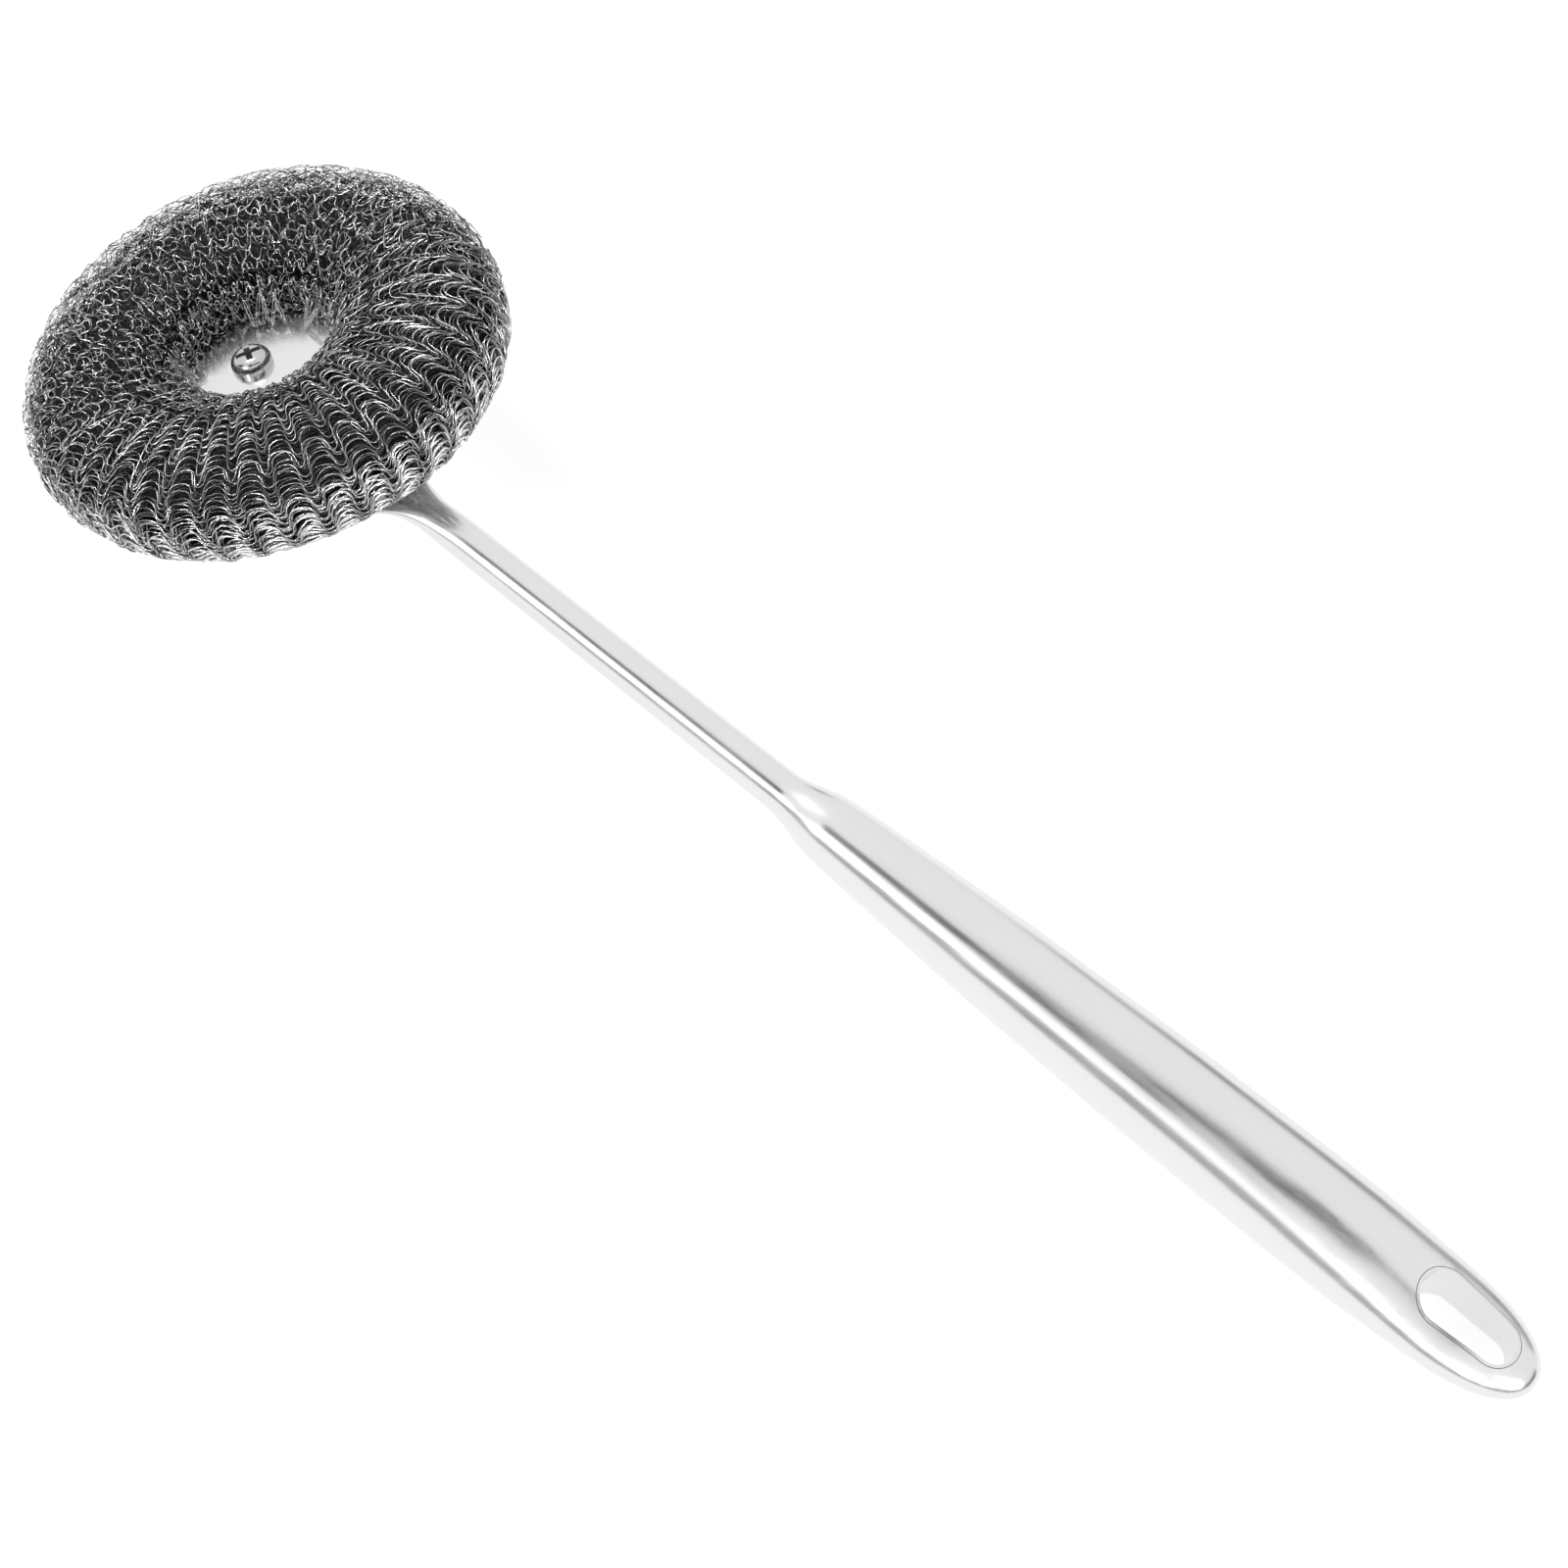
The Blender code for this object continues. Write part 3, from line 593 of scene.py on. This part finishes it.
rng = np.random.default_rng(knit_seed)
for layer, (depth, grey, points_per_wale, stray) in enumerate(layers):
    wander = unevenness(rng, waves=10, turns=7, reach=90)
    swell = unevenness(rng, waves=10, turns=9, reach=120)
    fuzz = unevenness(rng, waves=24, turns=60, reach=900)
    twist = unevenness(rng, waves=16, turns=60, reach=700)
    painted_glint_field = unevenness(rng, waves=30, turns=400, reach=3000)
    outer = depth < outer_depth
    rings = []
    t = np.linspace(0, math.tau * wale_count, wale_count * points_per_wale, endpoint=False)
    for s in course_places(first_course + course_step * rng.uniform(0, start_spread)):
        loop = t + turn_shift * np.sin(2 * t) - arch_shift * np.sin(t) + rng.normal(0, run_spread)
        slip = rng.normal(0, slip_spread) / wale_count
        angle = loop / wale_count
        off_tidy = np.abs((angle - tidy_side + math.pi) % math.tau - math.pi)
        untidy = smooth_step(untidy_from, untidy_to, off_tidy)
        drift = wander_reach * wander(angle, s) + stray_share * stray * (s - stray_middle)
        angle = angle + untidy * (drift + slip)
        radius = np.interp(s, along_profile, profile[:, 0])
        reach = loop_reach * (radius / rim_radius) ** reach_power * (1 + swell_share * swell(angle, s))
        fuzzed = 1 + (fuzz_share + untidy_fuzz_share * untidy) * fuzz(angle, s)
        reach = reach * (1 - untidy_shrink * untidy) * fuzzed
        place = s + rng.normal(0, place_spread) + reach * np.cos(t) + swell_place * swell(angle, s + 1)
        sink = depth - loop_lift * np.cos(t) + (fuzz_depth + untidy_fuzz_depth * untidy) * fuzz(angle, s)
        points, normals = on_ring(angle, place, np.maximum(sink, 0))
        side = np.cross(normals, directions_along(points))
        roll = ((twist_tidy + twist_untidy * untidy) * twist(angle, s))[:, None]
        # The points' grey: painted shade by depth, painted light on the loose side, and painted glints
        # below.
        loose = smooth_step(loose_from, loose_to, place)
        in_arch = 0.5 - 0.5 * np.cos(t)
        light = painted_loop_light + painted_arch_light * in_arch if outer else painted_inner_gain * grey
        # grey is the layer's painted shade by depth, and light the painted light it is raised to on the
        # loose side.
        shades = (grey + (light - grey) * loose) * rng.uniform(darkest_course, lightest_course)
        shades = shades * (1 - untidy_dark * untidy)
        # Painted highlights: random spots of the outer wires on the crushed side are painted towards
        # white.
        painted_glints = untidy * smooth_step(painted_glint_from, painted_glint_to, painted_glint_field(angle, s)) * outer
        shades = shades + (1 - shades) * painted_glints
        broad = (1 + loose_broad * loose - untidy_narrow * untidy * (1 - loose))[:, None]
        rings.append((points, broad * (np.cos(roll) * normals + np.sin(roll) * side), shades))
    knit = add_knit(wire_mesh(f"scourer_knit_{layer + 1}", rings))
    if layer == 0:
        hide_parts("scourer")

# Here and there wires are pulled straight where the plate pinches them, and stand out over it.
# Each bundle: where it is round the ring, in degrees, and how far in it reaches.
bundles = ((115, 0.0112), (216, 0.0104), (68, 0.0125))
strands_per_bundle = 6
strand_points = 18
strand_top_radius, strand_top_height = 0.0158, 0.0262
strand_low_height = 0.0216
strand_half_gap = 0.0003
strand_width_share = 0.6
strand_turn_spread, strand_lean_spread = 6, 0.12
strand_reach_spread, strand_height_spread = 0.002, 0.001
darkest_strand, lightest_strand = 0.7, 0.98
strands = []
for turn, low_radius in bundles:
    for _ in range(strands_per_bundle):
        a = math.radians(turn + rng.normal(0, strand_turn_spread))
        b = a + rng.normal(0, strand_lean_spread)
        reach_in = low_radius + rng.uniform(0, strand_reach_spread)
        height = strand_top_height + rng.uniform(-strand_height_spread, strand_height_spread)
        top = np.array((strand_top_radius * math.cos(a), strand_top_radius * math.sin(a), height))
        low = np.array((reach_in * math.cos(b), reach_in * math.sin(b), strand_low_height))
        u = np.linspace(0, math.tau, strand_points, endpoint=False)[:, None]
        side = np.array((-math.sin(a), math.cos(a), 0))
        points = top + (low - top) * (0.5 - 0.5 * np.cos(u)) + strand_half_gap * np.sin(u) * side
        broad_side = np.tile((0, 0, strand_width_share), (strand_points, 1))
        shades = np.full(strand_points, rng.uniform(darkest_strand, lightest_strand))
        strands.append((from_head(points), broad_side, shades))
add_knit(wire_mesh("scourer_strands", strands))

# The rolled-up inside of the stocking, too dense to see into, as one dark body under the wires. Its
# near-black is painted shade, for the deep shadow inside the knit.
core_turns, core_sides = 120, 48
torus_radius = 2
core_start = 0.009
core_end_gap = 0.005
core_seam = math.radians(200)
core_depths = (0.0044, 0.0085)
core_sinks_over = (0.03, 0.06)
core_shade_grey = (0.03, 0.03, 0.031, 1)
# Painted shade: the core is nearly black because the inside of the knit lies in shadow.
core_painted_shade = steel(
    "core_painted_shade", core_shade_grey, fineness=900, stretch=1, rough_low=0.5, rough_high=0.8, bump=0.6
)
bpy.ops.object.select_all(action="DESELECT")
bpy.ops.mesh.primitive_torus_add(
    major_segments=core_turns,
    minor_segments=core_sides,
    major_radius=torus_radius,
    minor_radius=1,
    location=(0, 0, 0),
)
core = start_piece("scourer_core")
bpy.ops.object.mode_set(mode="OBJECT")
spots = np.array([vertex.co for vertex in core.data.vertices])
turn = np.arctan2(spots[:, 1], spots[:, 0])
minor = np.arctan2(spots[:, 2], np.hypot(spots[:, 0], spots[:, 1]) - torus_radius)
share = ((core_seam - minor) % math.tau) / math.tau
run = core_start + (profile_length - core_start - core_end_gap) * share
points, _ = on_ring(turn, run, np.interp(run, core_sinks_over, core_depths))
for vertex, spot in zip(core.data.vertices, points):
    vertex.co = spot
bpy.ops.object.mode_set(mode="EDIT")
face_outward()
finish_piece(core, core_painted_shade, smooth_angle=60)

# CLAMP PLATE
# A stamped and mirror-polished disc, slightly domed, that the screw pulls down onto the knit. The
# wires lap its edge.
mirror_grey = (0.86, 0.86, 0.87, 1)
polished_steel = steel(
    "polished_steel", mirror_grey, fineness=300, stretch=1, rough_low=0.13, rough_high=0.2, bump=0.02
)
plate_top = 0.0213
plate_radius = 0.0195
plate_hole = 0.0023
plate_fall = 0.0011
plate_thickness = 0.001
plate_rings = 16
turned_points = 96
bpy.ops.object.select_all(action="DESELECT")
bpy.ops.mesh.primitive_circle_add(
    vertices=turned_points, radius=plate_radius, fill_type="NGON", location=(0, 0, 0)
)
plate = start_piece("clamp_plate_bright")
for _ in range(plate_rings):
    bpy.ops.mesh.inset(thickness=(plate_radius - plate_hole) / plate_rings)
bpy.ops.mesh.delete(type="FACE")
bpy.ops.object.mode_set(mode="OBJECT")
for vertex in plate.data.vertices:
    vertex.co.z = plate_top - plate_fall * (vertex.co.x**2 + vertex.co.y**2) / plate_radius**2
thickness = plate.modifiers.new("thickness", "SOLIDIFY")
thickness.thickness = plate_thickness
thickness.offset = -1
plate.data.transform(head_place)
finish_piece(plate, polished_steel, smooth_angle=40)
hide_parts("clamp_plate")

# CLAMP SCREW
# A bright pan-head machine screw with a cross recess, through both plates and the tongue to a nut.
head_radius = 0.0041
head_height = 0.0031
head_round = 0.0023
head_points = 64
shank_radius = 0.002
shank_length = 0.0309
near_edge = 0.0001
head_top = plate_top + head_height
screw_grey = (0.6, 0.6, 0.61, 1)
screw_steel = steel(
    "screw_steel", screw_grey, fineness=500, stretch=1, rough_low=0.1, rough_high=0.2, bump=0.05
)
bpy.ops.object.select_all(action="DESELECT")
bpy.ops.mesh.primitive_cylinder_add(
    vertices=head_points,
    radius=head_radius,
    depth=head_height,
    location=(0, 0, plate_top + head_height / 2),
)
screw = start_piece("clamp_screw_bright")
bpy.ops.object.mode_set(mode="OBJECT")
bpy.ops.object.transform_apply(location=True)
bpy.ops.object.mode_set(mode="EDIT")
bpy.ops.mesh.select_mode(type="VERT")
select_where(screw, lambda co: co.z > head_top - near_edge)
bpy.ops.mesh.bevel(affect="EDGES", offset=head_round, segments=12, profile=0.5)
select_where(screw, lambda co: co.z < plate_top + near_edge)
bpy.ops.mesh.inset(thickness=head_radius - shank_radius)
bpy.ops.mesh.extrude_region_move(TRANSFORM_OT_translate={"value": (0, 0, -shank_length)})
bpy.ops.object.mode_set(mode="OBJECT")

# The recess: two crossed blades that narrow towards the bottom, and a cone between their arms. Its
# floor is painted shade: dull, dark sheets sunk under the cut, where the recess lies in shadow.
recess_turn = 54
blade_size = (0.0054, 0.00125, 0.0030)
blade_taper = (0.5, 0.7, 1)
blade_middle = 0.0012
cone_low_radius, cone_top_radius = 0.0002, 0.0016
cone_depth = 0.0024
cone_middle = 0.0009
floor_drop = 0.0008
# Painted shade for the recess's floor, which lies in shadow.
recess_shade_grey = (0.05, 0.05, 0.05, 1)
recess_painted_shade = steel(
    "recess_painted_shade", recess_shade_grey, fineness=900, stretch=1, rough_low=0.4, rough_high=0.6, bump=0.3
)


def punch(tool, turn, name):
    """Cuts the tool into the screw's head and leaves it sunk there, as the recess's floor of painted
    shade.
    """
    tool.data.transform(Matrix.Rotation(math.radians(turn), 4, "Z"))
    cut_with(screw, tool)
    tool.name = tool.data.name = name
    tool.data.transform(head_place @ Matrix.Translation((0, 0, -floor_drop)))
    finish_piece(tool, recess_painted_shade)


for turn in (recess_turn, recess_turn + 90):
    bpy.ops.object.select_all(action="DESELECT")
    bpy.ops.mesh.primitive_cube_add(size=1, location=(0, 0, 0))
    blade = start_piece("recess_blade")
    bpy.ops.transform.resize(value=blade_size, center_override=(0, 0, 0))
    select_where(blade, lambda co: co.z < 0)
    bpy.ops.transform.resize(value=blade_taper, center_override=(0, 0, 0))
    bpy.ops.mesh.select_all(action="SELECT")
    bpy.ops.transform.translate(value=(0, 0, head_top - blade_middle))
    bpy.ops.object.mode_set(mode="OBJECT")
    punch(blade, turn, f"recess_floor_{turn}")
bpy.ops.object.select_all(action="DESELECT")
bpy.ops.mesh.primitive_cone_add(
    vertices=4,
    radius1=cone_low_radius,
    radius2=cone_top_radius,
    depth=cone_depth,
    location=(0, 0, head_top - cone_middle),
)
cone = start_piece("recess_cone")
bpy.ops.object.mode_set(mode="OBJECT")
bpy.ops.object.transform_apply(location=True)
punch(cone, recess_turn, "recess_floor_middle")
screw.data.transform(head_place)
finish_piece(screw, screw_steel, smooth_angle=40)
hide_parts("clamp_screw")

# REAR WASHER AND NUT
# Plain bright fasteners that the screw is tightened against behind the handle's flat end.
refinish("rear_washer", screw_steel)
refinish("rear_nut", screw_steel)

# STUDIO
# A white table in a white room, seen from above the brush's side through a long lens. Both look white
# to the camera and in reflections, and light the brush less than that.
floor_size = 6
paper_grey = (0.85, 0.85, 0.85, 1)
paper_glow = 1.1
paper_glow_share = 0.82


def seen_directly(nodes, links):
    """1 for what the camera sees straight on or in a mirror, and 0 for other light."""
    seen = nodes.new("ShaderNodeLightPath")
    either = nodes.new("ShaderNodeMath")
    either.operation = "MAXIMUM"
    links.new(seen.outputs["Is Camera Ray"], either.inputs[0])
    links.new(seen.outputs["Is Glossy Ray"], either.inputs[1])
    return either.outputs["Value"]


bpy.ops.object.select_all(action="DESELECT")
bpy.ops.mesh.primitive_plane_add(size=floor_size, location=(0, 0, 0))
floor = bpy.context.object
floor.name = "floor"
paper = bpy.data.materials.new("paper")
paper.use_nodes = True
nodes, links = paper.node_tree.nodes, paper.node_tree.links
nodes.clear()
shown = nodes.new("ShaderNodeOutputMaterial")
bright = nodes.new("ShaderNodeMath")
bright.operation = "MULTIPLY"
bright.inputs[1].default_value = paper_glow_share
links.new(seen_directly(nodes, links), bright.inputs[0])
lit = nodes.new("ShaderNodeBsdfDiffuse")
lit.inputs["Color"].default_value = paper_grey
glow = nodes.new("ShaderNodeEmission")
glow.inputs["Strength"].default_value = paper_glow
mix = nodes.new("ShaderNodeMixShader")
links.new(bright.outputs["Value"], mix.inputs["Fac"])
links.new(lit.outputs[0], mix.inputs[1])
links.new(glow.outputs[0], mix.inputs[2])
links.new(mix.outputs[0], shown.inputs["Surface"])
floor.data.materials.append(paper)

# Cards that are hidden from the camera draw the dark and bright lines along the handle, which mirrors
# them. Each card: name, place, size, lean and turn in degrees, and how bright it is.
cards = (
    ("camera_card", (-0.15, -0.84, 1.37), (0.6, 0.54), 31.5, 0, 0.07),
    ("overhead_card", (0.38, -0.15, 1.5), (1.0, 0.36), 0, 60.6, 0.05),
    ("near_card", (0, -0.7, 0.09), (2.4, 0.62), 17, 0, 0.38),
    ("near_grey_card", (0, -1.0, 0.25), (2.4, 0.19), 90, 0, 0.75),
    ("near_white_card", (0, -1.0, 0.56), (1.4, 0.43), 90, 0, 1.2),
    ("near_left_card", (-0.95, -0.7, 0.5), (0.5, 0.5), 90, 0, 0.03),
    ("far_card", (0.33, 0.9, 0.14), (0.7, 0.27), 90, 0, 0.35),
    ("end_card", (1.1, 0, 0.14), (1.6, 0.27), 90, 90, 0.2),
    ("far_left_card", (-0.75, 0.9, 0.16), (0.7, 0.24), 90, 0, 0.03),
)
for name, place, size, lean, turn, tone in cards:
    bpy.ops.object.select_all(action="DESELECT")
    rotation = (math.radians(lean), 0, math.radians(turn))
    bpy.ops.mesh.primitive_plane_add(size=1, location=place, rotation=rotation)
    card = bpy.context.object
    card.name = name
    card.scale = (*size, 1)
    bpy.ops.object.transform_apply(scale=True)
    board = bpy.data.materials.new(name)
    board.use_nodes = True
    nodes, links = board.node_tree.nodes, board.node_tree.links
    nodes.clear()
    shown = nodes.new("ShaderNodeOutputMaterial")
    glow = nodes.new("ShaderNodeEmission")
    glow.inputs["Strength"].default_value = tone
    links.new(glow.outputs[0], shown.inputs["Surface"])
    card.data.materials.append(board)
    card.visible_camera = False

room_light = 0.5
room_white = 1.18
world = bpy.data.worlds.new("studio")
bpy.context.scene.world = world
world.use_nodes = True
nodes, links = world.node_tree.nodes, world.node_tree.links
nodes.clear()
sky = nodes.new("ShaderNodeOutputWorld")
plain = nodes.new("ShaderNodeBackground")
plain.inputs["Strength"].default_value = room_light
pale = nodes.new("ShaderNodeBackground")
pale.inputs["Strength"].default_value = room_white
choose = nodes.new("ShaderNodeMixShader")
links.new(seen_directly(nodes, links), choose.inputs["Fac"])
links.new(plain.outputs[0], choose.inputs[1])
links.new(pale.outputs[0], choose.inputs[2])
links.new(choose.outputs[0], sky.inputs["Surface"])


def soft_light(name, place, aim, size, power):
    """A square lamp of some size in metres and some power in watts, turned towards its aim."""
    lamp = bpy.data.lights.new(name, "AREA")
    lamp.shape = "RECTANGLE"
    lamp.size, lamp.size_y = size, size
    lamp.energy = power
    holder = bpy.data.objects.new(name, lamp)
    bpy.context.scene.collection.objects.link(holder)
    holder.location = place
    holder.rotation_euler = (Vector(aim) - Vector(place)).to_track_quat("-Z", "Y").to_euler()


brush_spot = (-0.05, 0, 0)
ring_spot = (-0.13, 0.02, 0.04)
soft_light("key", (-0.75, 0.1, 0.75), brush_spot, size=0.25, power=5)
soft_light("fill", (0.95, -0.15, 0.42), brush_spot, size=0.25, power=4)
soft_light("front", (0.7, -0.85, 0.55), ring_spot, size=0.15, power=7)
soft_light("sparkle", (-0.29, -0.75, 0.44), ring_spot, size=0.07, power=3)

camera_data = bpy.data.cameras.new("camera")
camera = bpy.data.objects.new("camera", camera_data)
bpy.context.scene.collection.objects.link(camera)
camera_data.sensor_width = 36
camera_data.sensor_fit = "HORIZONTAL"
camera_data.lens = 129.727
camera_data.clip_start = 0.05
camera.matrix_world = Matrix(
    (
        (0.79467, -0.57418, 0.19704, 0.21097),
        (0.58934, 0.65188, -0.47722, -0.51556),
        (0.14556, 0.49535, 0.85641, 0.94865),
        (0, 0, 0, 1),
    )
)
bpy.context.scene.camera = camera
bpy.context.scene.view_settings.view_transform = "Standard"
